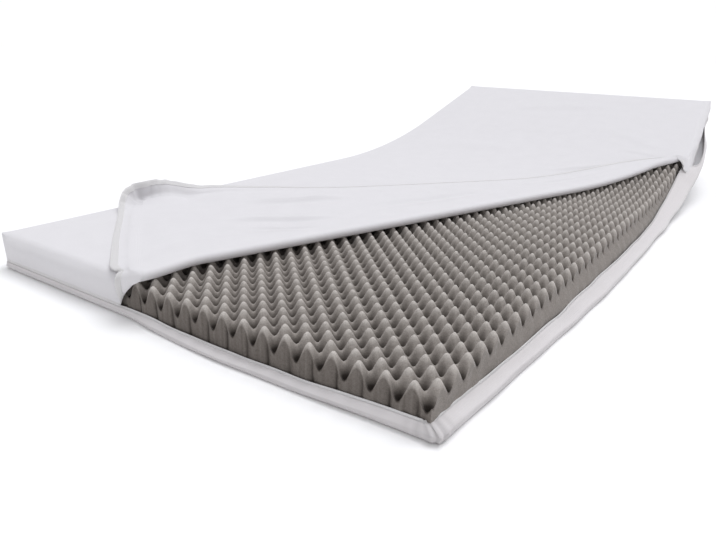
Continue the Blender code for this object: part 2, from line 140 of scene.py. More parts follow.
# The cover's fold line, from the foot edge to the right side: the foam shows past it
FOLD_FOOT, FOLD_SIDE = np.array([0.405, 0.0]), np.array([0.899, 1.475])
FOLD_LENGTH = np.linalg.norm(FOLD_SIDE - FOLD_FOOT)
ALONG = (FOLD_SIDE - FOLD_FOOT) / FOLD_LENGTH
ACROSS = np.array([ALONG[1], -ALONG[0]])
FOLD_BOW, BOW_EASE, BOW_REACH = -0.026, 0.12, 0.25


def fold_coordinates(u, v):
    """(along the fold line, across it towards the open corner)."""
    u, v = u - FOLD_FOOT[0], v - FOLD_FOOT[1]
    return u * ALONG[0] + v * ALONG[1], u * ACROSS[0] + v * ACROSS[1]


def bow(along):
    """How far the fold line is bowed off straight, at a place along it."""
    return FOLD_BOW * ease(along / BOW_EASE) * ease((FOLD_LENGTH - along) / BOW_EASE)


PITCH_X, PITCH_S, PIT_DEPTH = 0.0368, 0.0372, 0.034
FIRST_PEAK = (0.8625, 0.0074)
PEAK_SHARPNESS = 1.04
PITS_UNEVEN, PITS_UNEVEN_SIZE = 0.05, 0.09
FOOT_SETTLED, FOOT_SETTLED_REACH = 0.0022, 0.020
SIDE_SETTLED, SIDE_SETTLED_REACH = 0.0012, 0.015
FOAM_BOTTOM, FOAM_TOP = 0.0020, 0.0670
FOAM_LEFT, FOAM_RIGHT, FOAM_FRONT, FOAM_BACK = 0.0045, 0.8870, 0.0036, 1.9680
CRATE_LEFT, CRATE_BACK, CRATE_PAST_FOLD = 0.34, 1.60, -0.045
CELLS_A_PITCH, LEAST_CELL, FACE_ROWS = 15, 0.3, 9
FOAM_SHARP = radians(72)

# The cut faces: one groove a pitch down the foot face, and a slight unevenness on both
GROOVE_PHASE, GROOVE_DEPTH, GROOVE_WIDTH, GROOVE_FROM = 0.21, 0.0018, 0.070, 0.3
GROOVE_MEAN, GROOVE_UNEVEN = 0.75, 0.25
FACE_UNEVEN, FACE_UNEVEN_FROM = 0.0007, 0.4
# Where the cover is open, the right face leans out at its base to the tray
SPREAD_FROM = 0.046
SPREADS = (
    # s, how far the right face spreads out at its base, height of the full spread
    (0.06, 0.0000, 0.018), (0.15, 0.0015, 0.017), (0.22, 0.0045, 0.016), (0.30, 0.0070, 0.016),
    (0.42, 0.0105, 0.016), (0.55, 0.0115, 0.016), (0.65, 0.0130, 0.016), (0.80, 0.0150, 0.017),
    (1.00, 0.0145, 0.020), (1.20, 0.0080, 0.029), (1.35, 0.0040, 0.035), (1.50, 0.0010, 0.039),
)

# How light the foam is painted, from 0 deep in a pit to 1 on a peak: painted shade in the pits and
# a painted highlight on the peaks
PIT_WIDTH, SLOPE_TONE = 0.215, 0.75
PEAK_HIGHLIGHT, PEAK_FROM, PEAK_OVER = 0.23, 0.70, 0.30
# painted lightening of the crate towards the head end
FAR_LIGHTENING, FAR_FROM, FAR_OVER = 0.12, 0.25, 0.90
# The cut faces keep the cut cells' own darker tone and random streaks, darker towards the base;
# the foot face is painted darker, with painted shade in its grooves
FOOT_FACE_TONE, GROOVE_SHADE, BASE_TONE, STREAK_TONE = 0.47, 0.24, 0.05, 0.03
# The right face is painted lighter than the foot face, and lighter still near its head end, as
# painted light
SIDE_FACE_TONE, SIDE_END_LIGHTENING, SIDE_END_FROM, SIDE_END_OVER = 0.56, 0.29, 1.30, 0.12


def crate_rise(x, s):
    """0 in a pit to 1 on a peak, with the peaks a little rounder than the pits."""
    wave = np.cos(2 * pi * (x - FIRST_PEAK[0]) / PITCH_X)
    wave = wave * np.cos(2 * pi * (s - FIRST_PEAK[1]) / PITCH_S)
    return 1 - ((1 - wave) / 2) ** PEAK_SHARPNESS


def pit_distance(x, s):
    """Distance from the middle of the nearest pit, in pitches."""
    across, along = (x - FIRST_PEAK[0]) / PITCH_X, (s - FIRST_PEAK[1]) / PITCH_S
    nearest = []
    for pit in ((0.5, 0.0), (0.0, 0.5)):
        off_x = np.mod(across - pit[0] + 0.5, 1) - 0.5
        off_s = np.mod(along - pit[1] + 0.5, 1) - 0.5
        nearest.append(np.hypot(off_x, off_s))
    return np.minimum(*nearest)


def crate_height(x, s):
    """Height of the crate, its pits uneven and its peaks settled along the cut edges."""
    uneven = 1 + PITS_UNEVEN * waves(x, s, seed=3, size=PITS_UNEVEN_SIZE)
    settled = FOOT_SETTLED * bump((s - FOAM_FRONT) / FOOT_SETTLED_REACH)
    settled = settled + SIDE_SETTLED * bump((FOAM_RIGHT - x) / SIDE_SETTLED_REACH)
    return FOAM_TOP - settled - PIT_DEPTH * uneven * (1 - crate_rise(x, s))


def lattice_places(low, high, phase, pitch):
    """Places on the crate's own lattice between two cut faces, with both faces."""
    fine = pitch / CELLS_A_PITCH
    first, last = np.ceil((low - phase) / fine + LEAST_CELL), (high - phase) / fine - LEAST_CELL
    return np.concatenate([[low], phase + fine * np.arange(first, last), [high]])


def foot_grooves(x, foot_face):
    """0 to 1 in the grooves of the cut foot face."""
    phase = np.mod((x - FIRST_PEAK[0]) / PITCH_X - GROOVE_PHASE + 0.5, 1) - 0.5
    uneven = GROOVE_MEAN + GROOVE_UNEVEN * waves(x, seed=7, size=0.10)
    return bump(phase / GROOVE_WIDTH) * ease(foot_face / GROOVE_FROM) * uneven


def crate_painted_light(x, s, right_face, foot_face, groove):
    """How light each point is: painted pit shade, a painted peak highlight, plainer faces."""
    # painted shade in the pits, a painted highlight on the peaks and painted lightening towards
    # the head end
    tone = SLOPE_TONE * (1 - bump(pit_distance(x, s) / PIT_WIDTH))
    tone = tone + PEAK_HIGHLIGHT * ease((crate_rise(x, s) - PEAK_FROM) / PEAK_OVER)
    tone = tone * (1 + FAR_LIGHTENING * ease((s - FAR_FROM) / FAR_OVER))
    # on the faces: the foot face painted darker with painted shade in its grooves, the right face
    # painted lighter
    down = np.maximum(right_face, foot_face)
    foot = FOOT_FACE_TONE - GROOVE_SHADE * groove - BASE_TONE * down
    foot = foot + STREAK_TONE * waves(x, seed=6, size=0.009)
    side = SIDE_FACE_TONE + SIDE_END_LIGHTENING * ease((s - SIDE_END_FROM) / SIDE_END_OVER)
    return np.where(right_face > 0, side, np.where(down > 0, foot, tone))


def give_tone(made, tone):
    """How light each point of the foam is."""
    tones = made.data.attributes.new("tone", "FLOAT", "POINT")
    tones.data.foreach_set("value", np.ravel(tone).astype(np.float32))


def bare_crate():
    """The crate round the bare triangle, with its cut foot and right faces."""
    xs = lattice_places(CRATE_LEFT, FOAM_RIGHT, FIRST_PEAK[0], PITCH_X)
    ss = lattice_places(FOAM_FRONT, CRATE_BACK, FIRST_PEAK[1], PITCH_S)
    rows_down = np.arange(1, FACE_ROWS + 1) / FACE_ROWS
    down_x = np.concatenate([np.zeros(len(xs)), rows_down])
    down_s = np.concatenate([rows_down[::-1], np.zeros(len(ss))])
    xs = np.concatenate([xs, np.full(FACE_ROWS, FOAM_RIGHT)])
    ss = np.concatenate([np.full(FACE_ROWS, FOAM_FRONT), ss])
    x, s = np.meshgrid(xs, ss)
    right_face, foot_face = np.broadcast_arrays(down_x[None, :], down_s[:, None])
    down = np.maximum(right_face, foot_face)
    h = FOAM_BOTTOM + (crate_height(x, s) - FOAM_BOTTOM) * (1 - down)
    groove = foot_grooves(x, foot_face)
    foot_uneven = FACE_UNEVEN * waves(x, h, seed=4, size=0.03)
    side_uneven = FACE_UNEVEN * waves(s, h, seed=5, size=0.04)
    s_cut = s + GROOVE_DEPTH * groove + foot_uneven * ease(foot_face / FACE_UNEVEN_FROM)
    x_cut = x + side_uneven * ease(right_face / FACE_UNEVEN_FROM)
    spread, spread_h = (smooth_column(SPREADS, s, column) for column in (1, 2))
    x_cut = x_cut + spread * (right_face > 0) * ease((SPREAD_FROM - h) / (SPREAD_FROM - spread_h))
    made = grid_mesh("egg_crate_foam", place(x_cut, s_cut, h), np.stack([x, s], -1))
    give_tone(made, crate_painted_light(x, s, right_face, foot_face, groove))
    along, across = fold_coordinates(x, s)
    keep_vertices(made, (across > bow(along) + CRATE_PAST_FOLD).ravel())
    made.data.set_sharp_from_angle(angle=FOAM_SHARP)
    return made


SLAB_RIGHT, SLAB_FRONT = FOAM_RIGHT - 0.0015, FOAM_FRONT + 0.0030
SLAB_COLUMNS, SLAB_ROWS = 41, 91
SLAB_IN_CRATE, SLAB_UNDER_COVER = 0.026, 0.005
SLAB_RISES_BEHIND_FOLD, SLAB_RISES_AT, SLAB_RISES_OVER = 0.035, 1.56, 0.03
SLAB_EDGE, SLAB_TONE = 0.014, 0.6
SORT_WAY = Vector((1.0, 17.3, 291.7))


def covered_slab():
    """The foam under the closed cover, as a plain slab that runs on inside the crate."""
    xs = np.linspace(FOAM_LEFT, SLAB_RIGHT, SLAB_COLUMNS)
    ss = np.linspace(SLAB_FRONT, FOAM_BACK, SLAB_ROWS)
    x, s = np.meshgrid(xs, ss)
    along, across = fold_coordinates(x, s)
    covered = np.maximum(
        ease((bow(along) - SLAB_RISES_BEHIND_FOLD - across) / SLAB_RISES_OVER),
        ease((s - SLAB_RISES_AT) / SLAB_RISES_OVER),
    )
    edge = np.minimum.reduce([x - FOAM_LEFT, s - FOAM_FRONT, FOAM_BACK - s])
    top = SLAB_IN_CRATE + (FOAM_TOP - SLAB_UNDER_COVER - SLAB_IN_CRATE) * covered
    top = top - SLAB_EDGE * bump(edge / SLAB_EDGE)
    made = grid_mesh("covered_foam", place(x, s, top), np.stack([x, s], -1))
    bottom = place(x, s, FOAM_BOTTOM).reshape(-1, 3)
    bm = bmesh.new()
    bm.from_mesh(made.data)
    count = len(bm.verts)
    bmesh.ops.extrude_face_region(bm, geom=bm.faces, use_keep_orig=True)
    bm.verts.ensure_lookup_table()
    for v, low in zip(bm.verts[:count], bottom):
        v.co = low
    bmesh.ops.recalc_face_normals(bm, faces=bm.faces)
    # the walls are extruded in no fixed order, so all is put in order by its place
    bm.verts.sort(key=lambda v: v.co.dot(SORT_WAY))
    bm.faces.sort(key=lambda f: f.calc_center_median().dot(SORT_WAY))
    bm.to_mesh(made.data)
    bm.free()
    give_tone(made, np.full(len(made.data.vertices), SLAB_TONE))
    return made


def plain_material(name, color, roughness):
    """A material of one colour, with its nodes, its links and its shader."""
    made = bpy.data.materials.new(name)
    made.use_nodes = True
    shader = made.node_tree.nodes["Principled BSDF"]
    shader.inputs["Base Color"].default_value = (*color, 1)
    shader.inputs["Roughness"].default_value = roughness
    return made, made.node_tree.nodes, made.node_tree.links, shader


def texture(nodes, links, kind, vector, **inputs):
    """A texture node on these coordinates."""
    node = nodes.new(kind)
    for name, value in inputs.items():
        node.inputs[name].default_value = value
    links.new(vector, node.inputs["Vector"])
    return node


def raised_by(nodes, links, height, strength, distance, under=None):
    """A bump node, on top of another where one is given."""
    node = nodes.new("ShaderNodeBump")
    node.inputs["Strength"].default_value = strength
    node.inputs["Distance"].default_value = distance
    links.new(height, node.inputs["Height"])
    if under is not None:
        links.new(under.outputs["Normal"], node.inputs["Normal"])
    return node


def tinted(nodes, links, color, factor, low, high):
    """A colour made lighter and darker by a texture's factor."""
    spread = nodes.new("ShaderNodeMapRange")
    spread.inputs["To Min"].default_value = low
    spread.inputs["To Max"].default_value = high
    links.new(factor, spread.inputs["Value"])
    tint = nodes.new("ShaderNodeVectorMath")
    tint.operation = "SCALE"
    if isinstance(color, tuple):
        tint.inputs[0].default_value = color
    else:
        links.new(color, tint.inputs[0])
    links.new(spread.outputs["Result"], tint.inputs["Scale"])
    return tint.outputs["Vector"]


FOAM_TONES = (
    # tone, colour: the darkest colours are the pits' painted shade
    (0.00, (0.010, 0.008, 0.006)), (0.22, (0.034, 0.028, 0.024)), (0.45, (0.168, 0.149, 0.134)),
    (0.72, (0.375, 0.345, 0.318)), (1.00, (0.560, 0.528, 0.496)),
)


def foam_material():
    made, nodes, links, shader = plain_material("grey_open_cell_foam", (0.2, 0.18, 0.16), 1.0)
    shader.inputs["Sheen Weight"].default_value = 0.30
    shader.inputs["Sheen Roughness"].default_value = 0.30
    shader.inputs["Specular IOR Level"].default_value = 0.12
    coords = nodes.new("ShaderNodeTexCoord").outputs["Object"]
    cells = texture(nodes, links, "ShaderNodeTexVoronoi", coords, Scale=650.0)
    lumps = texture(nodes, links, "ShaderNodeTexNoise", coords, Scale=55.0, Detail=5.0)
    mottle = texture(nodes, links, "ShaderNodeTexNoise", coords, Scale=260.0, Detail=3.0)
    # the tone attribute carries the foam's painted light and shade
    tone = nodes.new("ShaderNodeAttribute")
    tone.attribute_name = "tone"
    ramp = nodes.new("ShaderNodeValToRGB")
    stops = ramp.color_ramp.elements
    stops[0].position, stops[1].position = FOAM_TONES[0][0], FOAM_TONES[-1][0]
    stops[0].color, stops[1].color = (*FOAM_TONES[0][1], 1), (*FOAM_TONES[-1][1], 1)
    for position, color in FOAM_TONES[1:-1]:
        stops.new(position).color = (*color, 1)
    links.new(tone.outputs["Fac"], ramp.inputs["Fac"])
    color = tinted(nodes, links, ramp.outputs["Color"], mottle.outputs["Fac"], 0.78, 1.22)
    color = tinted(nodes, links, color, cells.outputs["Distance"], 1.10, 0.80)
    links.new(color, shader.inputs["Base Color"])
    pores = raised_by(nodes, links, cells.outputs["Distance"], strength=0.55, distance=0.0007)
    lumpy = raised_by(
        nodes, links, lumps.outputs["Fac"], strength=0.35, distance=0.0025, under=pores
    )
    links.new(lumpy.outputs["Normal"], shader.inputs["Normal"])
    return made


foam = bare_crate()
slab = covered_slab()
foam_finish = foam_material()
bpy.ops.object.select_all(action="DESELECT")
for piece in (foam, slab):
    piece.data.materials.append(foam_finish)
    piece.select_set(True)
bpy.context.view_layer.objects.active = foam
bpy.ops.object.join()
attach(foam, "root")
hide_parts("foam_core")


# -------------------------------- base panel
# The cover's bottom panel, one sheet of fine white knit under the foam, sewn round its edge
# to the low border. Where the cover is unzipped it is pulled out past the foam.

CLOTH, CLOTH_SHARP = 0.0010, radians(50)
PANEL_COLUMNS, PANEL_ROWS, SEWN_INSIDE = 121, 200, 0.0015
CORNER_RADIUS, CORNER_POINT = 0.012, 0.15
# Where the border's foot, its widest line (the belly) and its upper edge (the lip) lie:
# how far out from the slab's plan, and how high
CLOSED_TRAY = (-0.0002, 0.0014, 0.0070, 0.0002, 0.0130)
OPEN_FOOT_TRAY = (
    # x, foot out, belly out, belly h, lip out, lip h
    (0.330, *CLOSED_TRAY),
    (0.380, 0.0010, 0.0035, 0.0080, 0.0008, 0.0145),
    (0.425, 0.0070, 0.0090, 0.0075, 0.0015, 0.0135),
    (0.500, 0.0130, 0.0145, 0.0065, 0.0020, 0.0110),
    (0.570, 0.0135, 0.0150, 0.0065, 0.0018, 0.0100),
    (0.634, 0.0122, 0.0140, 0.0070, 0.0012, 0.0105),
    (0.700, 0.0105, 0.0125, 0.0075, 0.0008, 0.0125),
    (0.757, 0.0060, 0.0095, 0.0085, 0.0002, 0.0150),
    (0.800, 0.0030, 0.0075, 0.0095, 0.0000, 0.0175),
    (0.870, 0.0005, 0.0050, 0.0110, -0.0005, 0.0210),
    (0.900, 0.0000, 0.0045, 0.0112, -0.0006, 0.0220),
)
OPEN_SIDE_TRAY = (
    # s, foot out, belly out, belly h, lip out, lip h
    (0.00, 0.0010, 0.0050, 0.0122, -0.0112, 0.0220),
    (0.03, 0.0020, 0.0055, 0.0122, -0.0112, 0.0210),
    (0.09, 0.0055, 0.0080, 0.0118, -0.0105, 0.0170),
    (0.15, 0.0090, 0.0110, 0.0115, -0.0085, 0.0145),
    (0.22, 0.0125, 0.0145, 0.0112, -0.0052, 0.0135),
    (0.30, 0.0165, 0.0182, 0.0108, -0.0026, 0.0130),
    (0.42, 0.0230, 0.0252, 0.0104, 0.0010, 0.0130),
    (0.55, 0.0282, 0.0305, 0.0104, 0.0016, 0.0130),
    (0.65, 0.0297, 0.0325, 0.0104, 0.0040, 0.0132),
    (0.80, 0.0300, 0.0335, 0.0106, 0.0072, 0.0142),
    (1.00, 0.0275, 0.0335, 0.0118, 0.0068, 0.0175),
    (1.20, 0.0265, 0.0335, 0.0140, -0.0008, 0.0262),
    (1.35, 0.0275, 0.0345, 0.0160, -0.0050, 0.0345),
    (1.40, 0.0277, 0.0345, 0.0162, -0.0045, 0.0450),
    (1.43, 0.0279, 0.0345, 0.0164, -0.0030, 0.0525),
    (1.46, 0.0280, 0.0345, 0.0165, 0.0000, 0.0540),
    (1.48, 0.0280, 0.0345, 0.0165, 0.0045, 0.0495),
    (1.495, 0.0280, 0.0342, 0.0164, 0.0095, 0.0425),
    (1.515, 0.0280, 0.0341, 0.0162, 0.0165, 0.0345),
    (1.535, 0.0278, 0.0338, 0.0158, 0.0230, 0.0290),
    (1.56, 0.0272, 0.0335, 0.0155, 0.0265, 0.0255),
    (1.62, 0.0256, 0.0318, 0.0148, 0.0262, 0.0235),
    (1.72, 0.0200, 0.0260, 0.0120, 0.0205, 0.0215),
    (1.84, 0.0040, 0.0090, 0.0080, 0.0070, 0.0150),
    (1.91, *CLOSED_TRAY),
    (1.98, *CLOSED_TRAY),
)
TRAY_CORNER = 0.028


def from_corner(u, v):
    """How far into a corner's square a point is, each way, and 0 away from the corners."""
    r = CORNER_RADIUS
    across = np.minimum(u - r, 0) + np.maximum(u - (WIDTH - r), 0)
    along = np.minimum(v - r, 0) + np.maximum(v - (LENGTH - r), 0)
    return across, along


def rounded(u, v):
    """The cover's plan point, with its corners rounded to a soft point."""
    a, b = from_corner(u, v)
    longest, reach = np.maximum(np.abs(a), np.abs(b)), np.hypot(a, b)
    keep = CORNER_POINT + (1 - CORNER_POINT) * longest / np.maximum(reach, 1e-9)
    keep = np.where(reach > 0, keep, 1)
    return u - a + a * keep, v - b + b * keep


def tray_row(u, v, column):
    """A column of the tray's tables at plan points: its foot, right and closed values."""
    foot, side = smooth_column(OPEN_FOOT_TRAY, u, column), smooth_column(OPEN_SIDE_TRAY, v, column)
    return foot, side, CLOSED_TRAY[column - 1]


def side_shares(u, v, reach=TRAY_CORNER):
    """How much of each side's own value a plan point takes: foot, right, head, left."""
    inside = (v, WIDTH - u, LENGTH - v, u)
    return [ease(1 - i / reach) for i in inside]


def pushed_out(u, v, row):
    """The cover's plan point, pushed out by a tray row on each side it is near."""
    foot, side, closed = row
    at_foot, at_right, at_head, at_left = side_shares(u, v)
    x, s = rounded(u, v)
    return x + at_right * side - at_left * closed, s + at_head * closed - at_foot * foot


def knit_material(name, color, pitch_u, pitch_v, depth, crumple, shaded=False):
    """Cloth with its threads and a fine crumple, on the UV metres of its flat sheet.

    Shaded cloth is tinted by its own "shade" attribute of painted light and shade.
    """
    made, nodes, links, shader = plain_material(name, color, 0.88)
    shader.inputs["Sheen Weight"].default_value = 0.15
    shader.inputs["Sheen Roughness"].default_value = 0.5
    shader.inputs["Specular IOR Level"].default_value = 0.2
    coords = nodes.new("ShaderNodeTexCoord").outputs["UV"]
    threads = []
    for direction, pitch in (("X", pitch_u), ("Y", pitch_v)):
        scale = pi / (10 * pitch)
        thread = texture(
            nodes, links, "ShaderNodeTexWave", coords,
            Scale=scale, Distortion=0.8, **{"Detail Scale": 1.5},
        )
        thread.bands_direction = direction
        threads.append(thread)
    crossing = nodes.new("ShaderNodeMath")
    crossing.operation = "MULTIPLY"
    for socket, thread in zip(crossing.inputs, threads):
        links.new(thread.outputs["Fac"], socket)
    soft = texture(nodes, links, "ShaderNodeTexNoise", coords, Scale=22.0, Detail=5.0)
    weave = raised_by(nodes, links, crossing.outputs["Value"], strength=0.5, distance=depth)
    creases = raised_by(
        nodes, links, soft.outputs["Fac"], strength=0.30, distance=crumple, under=weave
    )
    links.new(creases.outputs["Normal"], shader.inputs["Normal"])
    # a little darker in the low parts of the crumple and the weave, as painted shade
    shade = tinted(nodes, links, color, soft.outputs["Fac"], 0.965, 1.02)
    shade = tinted(nodes, links, shade, crossing.outputs["Value"], 0.975, 1.01)
    if shaded:
        own = nodes.new("ShaderNodeAttribute")
        own.attribute_name = "shade"
        shade = tinted(nodes, links, shade, own.outputs["Fac"], 0.0, 1.0)
    links.new(shade, shader.inputs["Base Color"])
    return made


KNIT_WHITE = (0.722, 0.712, 0.730)
# pitch across and along, depth of the threads and of the crumple
THREADS = (0.0012, 0.0015, 0.0004, 0.003)
knit = knit_material("white_cover_knit", KNIT_WHITE, *THREADS)


def finish_sheet(made, thickness, finish, node):
    """A sheet's thickness and finish, and what it stands for."""
    wall = made.modifiers.new("thickness", "SOLIDIFY")
    wall.thickness = thickness
    wall.offset = 0
    bpy.context.view_layer.objects.active = made
    bpy.ops.object.modifier_apply(modifier=wall.name)
    made.data.set_sharp_from_angle(angle=CLOTH_SHARP)
    made.data.materials.append(finish)
    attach(made, "root")
    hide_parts(node)


def base_panel():
    t, w = np.meshgrid(np.linspace(0, 1, PANEL_COLUMNS), np.linspace(0, 1, PANEL_ROWS))
    u, v = WIDTH * t, LENGTH * w
    x, s = pushed_out(u, v, tray_row(u, v, 1))
    x, s = x - SEWN_INSIDE * (2 * t - 1), s - SEWN_INSIDE * (2 * w - 1)
    made = grid_mesh("cover_base_panel", place(x, s, CLOTH / 2), np.stack([u, v], -1))
    finish_sheet(made, CLOTH, knit, "base_panel")


base_panel()


# -------------------------------- tray: lower border
# The low border, a strip of the knit sewn round the base panel, with its half of the zip, a
# woven tape with a nylon coil, sewn inside its edge. Where the cover is unzipped it is a
# loose tray: out from the foot, then back in over a soft fold.

TRAY_BORDER_FLAT, TAPE_FLAT = (0.022, 5.75), (0.013, 5.72)
# The tray's knit is painted a little darker than the cover's knit, as painted shade
painted_light_tray_knit = knit_material("white_tray_knit_painted_light", (0.680, 0.656, 0.660), *THREADS, shaded=True)


def join_ends(made):
    """Joins the two ends of a loop."""
    bm = bmesh.new()
    bm.from_mesh(made.data)
    bmesh.ops.remove_doubles(bm, verts=bm.verts, dist=1e-5)
    bm.to_mesh(made.data)
    bm.free()


def unit(vectors):
    return vectors / np.maximum(np.linalg.norm(vectors, axis=-1, keepdims=True), 1e-9)


def edge_stations(step):
    """(side, u, v, out, distance) round the cover's edge, from the foot's left corner."""
    corners = np.array([(0, 0), (WIDTH, 0), (WIDTH, LENGTH), (0, LENGTH), (0, 0)], float)
    close = CORNER_RADIUS * np.array([0, 0.25, 0.5, 0.75])
    sides, spots = [], []
    for side, (start, end) in enumerate(zip(corners, corners[1:])):
        length = np.linalg.norm(end - start)
        count = int(round(length / step))
        at = np.concatenate([
            close,
            np.linspace(CORNER_RADIUS, length - CORNER_RADIUS, count),
            length - close[:0:-1],
        ])
        spots.append(start + (end - start) * at[:, None] / length)
        sides.append(np.full(len(at), side))
    spots = np.concatenate(spots + [corners[:1]])
    sides = np.append(np.concatenate(sides), 0)
    out = unit(np.stack(from_corner(spots[:, 0], spots[:, 1]), -1))
    steps = np.linalg.norm(np.diff(spots, axis=0), axis=1)
    return sides, spots[:, 0], spots[:, 1], out, np.append(0, np.cumsum(steps))


def tray_height(u, v, row):
    """The height that a tray row gives at these plan points."""
    foot, side, closed = row
    shares = side_shares(u, v)
    total = shares[0] * foot + shares[1] * side + (shares[2] + shares[3]) * closed
    return total / np.maximum(sum(shares), 1e-9)


def give_shade(made, shade):
    """How light each point of a shaded cloth is painted: its painted light and shade."""
    values = made.data.attributes.new("shade", "FLOAT", "POINT")
    values.data.foreach_set("value", np.ravel(shade).astype(np.float32))


def soft_section(points):
    """Rows of section points with their corners cut twice, ends kept."""
    for _ in range(2):
        near = points[:, :-1] * 0.75 + points[:, 1:] * 0.25
        far = points[:, :-1] * 0.25 + points[:, 1:] * 0.75
        cut = np.stack([near, far], 2).reshape(len(points), -1, points.shape[-1])
        points = np.concatenate([points[:, :1], cut[:, 1:-1], points[:, -1:]], 1)
    return points


def inward(points, way):
    """Unit normals at a loop's edge that point into the cover, given the edge's own way."""
    around = np.roll(points[:-1], -1, 0) - np.roll(points[:-1], 1, 0)
    around = np.vstack([around, around[:1]])
    return unit(np.cross(way, around))


# The tape from its sewn edge to its coil: how far past the border's edge, and how far
# inside the border's face
TAPE_SECTION = (
    (-0.0085, 0.0009), (-0.0045, 0.0009), (-0.0005, 0.0009), (0.0008, 0.0007),
    (0.0018, 0.0004), (0.0024, 0.0000), (0.0030, -0.0002), (0.0036, 0.0003),
)
TAPE = 0.0007
COIL_PITCH, RIB_PITCH, COIL_FROM, COIL_FULL = 0.0016, 0.0011, 0.0012, 0.0020


def tape_on(edge, way, inside, distance, flip=1.0):
    """Points and UVs of a tape along a border's edge, which the border leaves this way."""
    section = np.array(TAPE_SECTION)
    past, deep = section[None, :, 0:1], section[None, :, 1:2]
    points = edge[:, None] + way[:, None] * past + inside[:, None] * deep * flip
    along = np.broadcast_to(distance[:, None], points.shape[:2])
    return points, np.stack([along, np.broadcast_to(past[..., 0], points.shape[:2])], -1)


def tape_material():
    """Woven tape, ribbed along its length, with the coil's turns across its free edge."""
    made, nodes, links, shader = plain_material("white_zip_tape", (0.74, 0.73, 0.73), 0.7)
    coords = nodes.new("ShaderNodeTexCoord").outputs["UV"]
    shader.inputs["Specular IOR Level"].default_value = 0.3
    turns = texture(nodes, links, "ShaderNodeTexWave", coords, Scale=pi / (10 * COIL_PITCH))
    ribs = texture(nodes, links, "ShaderNodeTexWave", coords, Scale=pi / (10 * RIB_PITCH))
    ribs.bands_direction = "Y"
    split = nodes.new("ShaderNodeSeparateXYZ")
    links.new(coords, split.inputs["Vector"])
    on_coil = nodes.new("ShaderNodeMapRange")
    on_coil.inputs["From Min"].default_value = COIL_FROM
    on_coil.inputs["From Max"].default_value = COIL_FULL
    links.new(split.outputs["Y"], on_coil.inputs["Value"])
    mix = nodes.new("ShaderNodeMix")
    links.new(on_coil.outputs["Result"], mix.inputs["Factor"])
    links.new(ribs.outputs["Fac"], mix.inputs["A"])
    links.new(turns.outputs["Fac"], mix.inputs["B"])
    relief = raised_by(nodes, links, mix.outputs["Result"], strength=0.8, distance=0.0006)
    links.new(relief.outputs["Normal"], shader.inputs["Normal"])
    # darker in the low parts of the ribs and the coil's turns, as painted shade
    shade = tinted(nodes, links, (0.80, 0.79, 0.79), mix.outputs["Result"], 0.90, 1.03)
    links.new(shade, shader.inputs["Base Color"])
    return made


tape_finish = tape_material()

TRAY_STEP = 0.007
TRAY_COLUMNS = ("foot", "belly", "belly_h", "lip", "lip_h")
TRAY_SECTION = (
    # from, to, share of the way, lift
    ("foot", "belly", 0.90, 0.0),
    ("belly", "lip", 0.06, 0.0004),
    ("belly", "lip", 0.55, 0.0012),
)
FOOT_HEIGHT, SEAM_ALLOWANCE = 0.0010, 0.0035
LOOSE_FROM, SIDE_LOOSE_OVER, FOOT_LOOSE_OVER = 0.002, 0.01, 0.008
BELLY_WAVER, LIP_WAVER, LIP_RISE_WAVER = 0.0014, 0.0006, 0.0009
# The cloth puckers round the near right corner
PUCKER_REACH, PUCKER_PITCH = 0.026, 0.0125
FOOT_PUCKER, BELLY_PUCKER, LIP_PUCKER = 0.0009, 0.0018, 0.0006
# Painted shade: the wall under the belly is painted darker than the turned-in lip, which is
# painted lighter, and the puckers are painted darker
WALL_TOP, WALL_FADES_OVER, WALL_SHADE, LIP_LIGHT = 0.52, 0.20, 0.20, 0.08
PUCKER_SHADE, PUCKER_SHADE_REACH = 0.20, 0.035
TAPE_STANDS = 1.3


